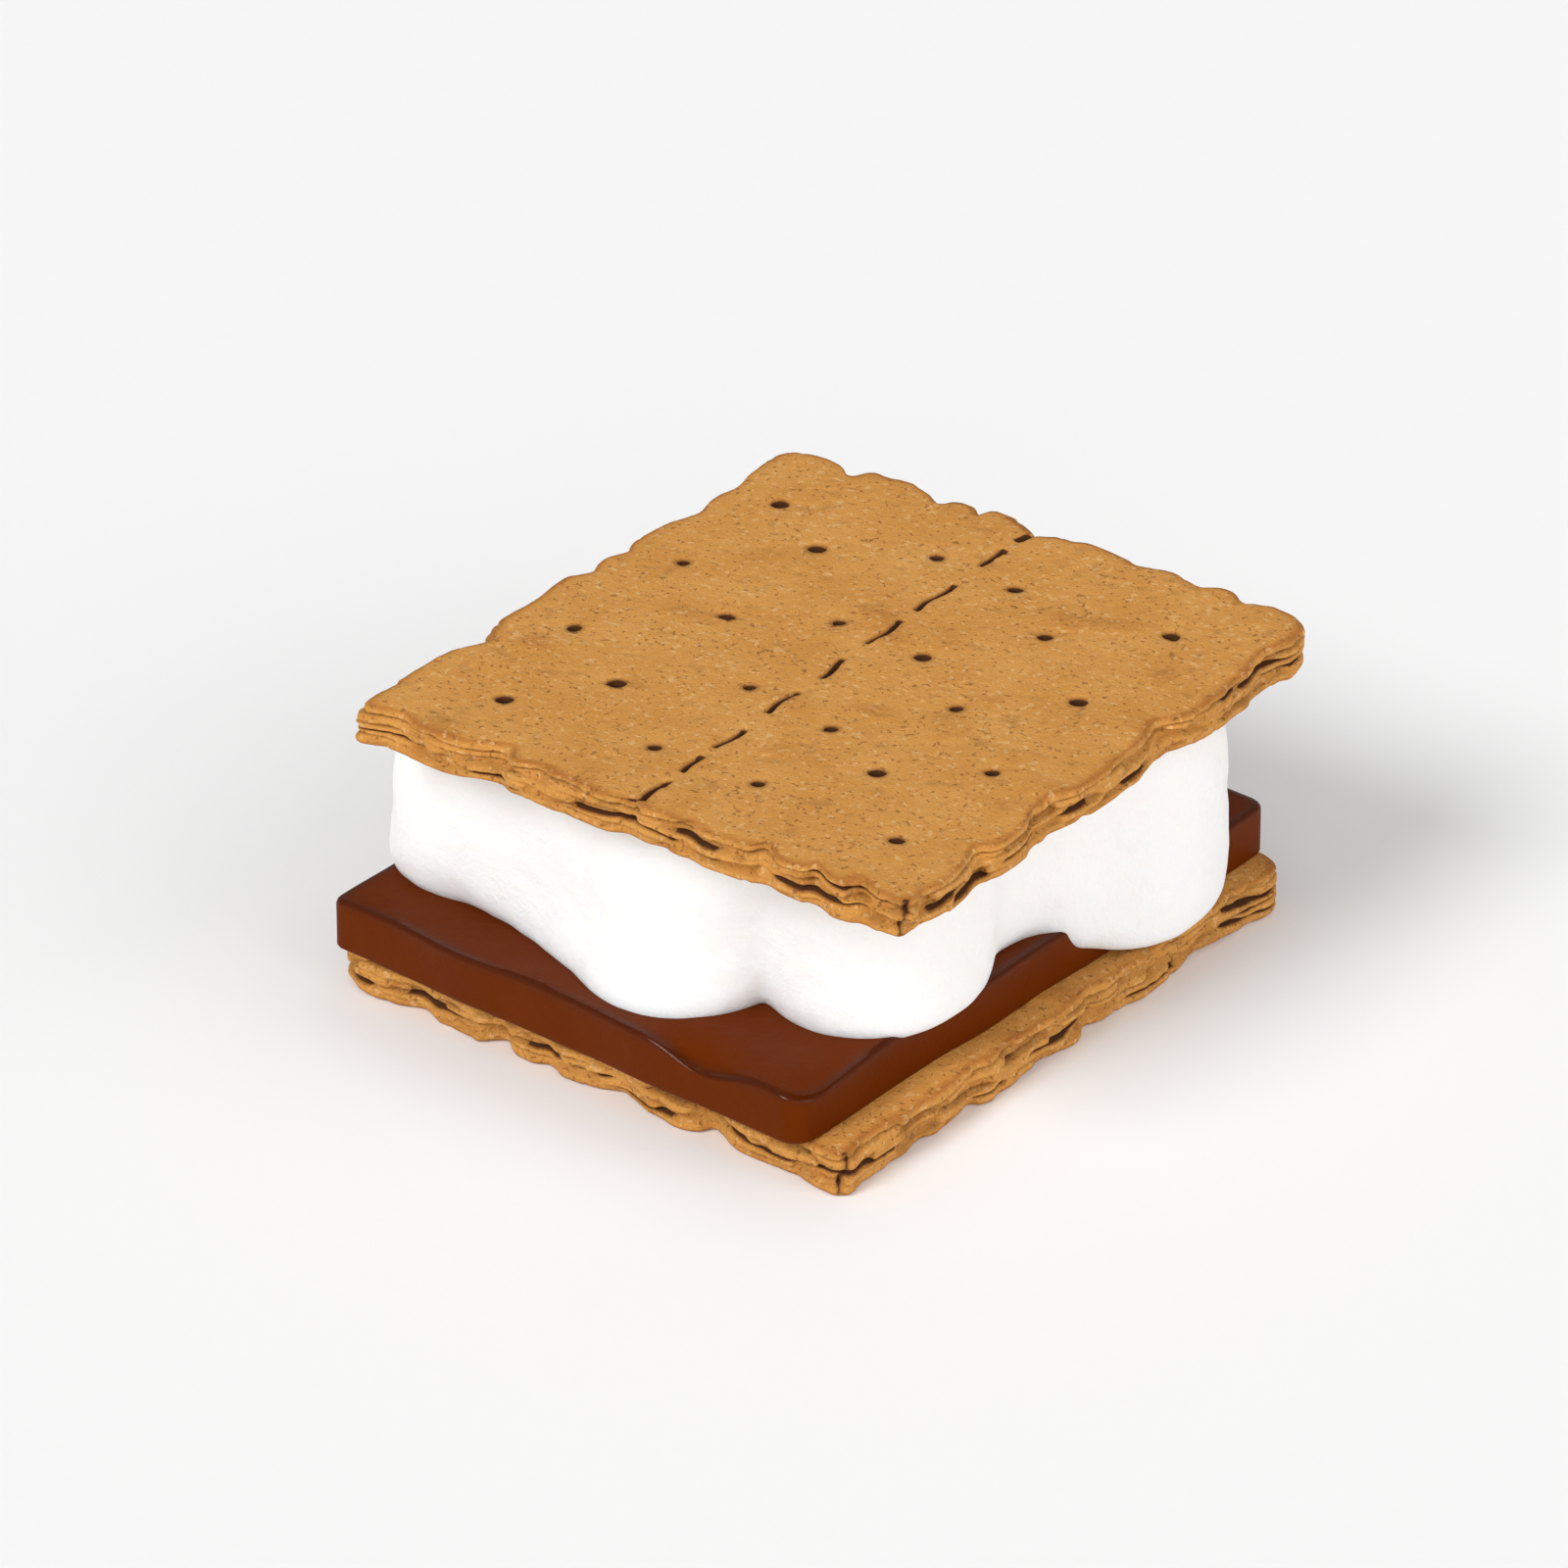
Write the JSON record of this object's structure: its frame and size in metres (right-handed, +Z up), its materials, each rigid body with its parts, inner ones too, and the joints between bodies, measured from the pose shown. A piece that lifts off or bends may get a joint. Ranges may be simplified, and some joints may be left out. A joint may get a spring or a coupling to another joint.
{
  "type": "smores",
  "caption": "S'more: a square graham cracker, a slab of plain milk chocolate, a soft white marshmallow with round lobes and a second cracker laid on top.",
  "frame": {"origin": "on the surface that the part stands on, under the middle of the bottom cracker", "axes": "+Z up; +X along the bottom cracker's short sides and +Y along its long sides"},
  "size_m": [0.0721, 0.0744, 0.0339],
  "materials": {
    "cracker": "baked, dry and matte",
    "chocolate": "satin",
    "marshmallow": "soft and powdery"
  },
  "bodies": {
    "root": {"bottom_cracker": "cracker", "chocolate": "chocolate", "marshmallow": "marshmallow", "top_cracker": "cracker"}
  },
  "joints": []
}
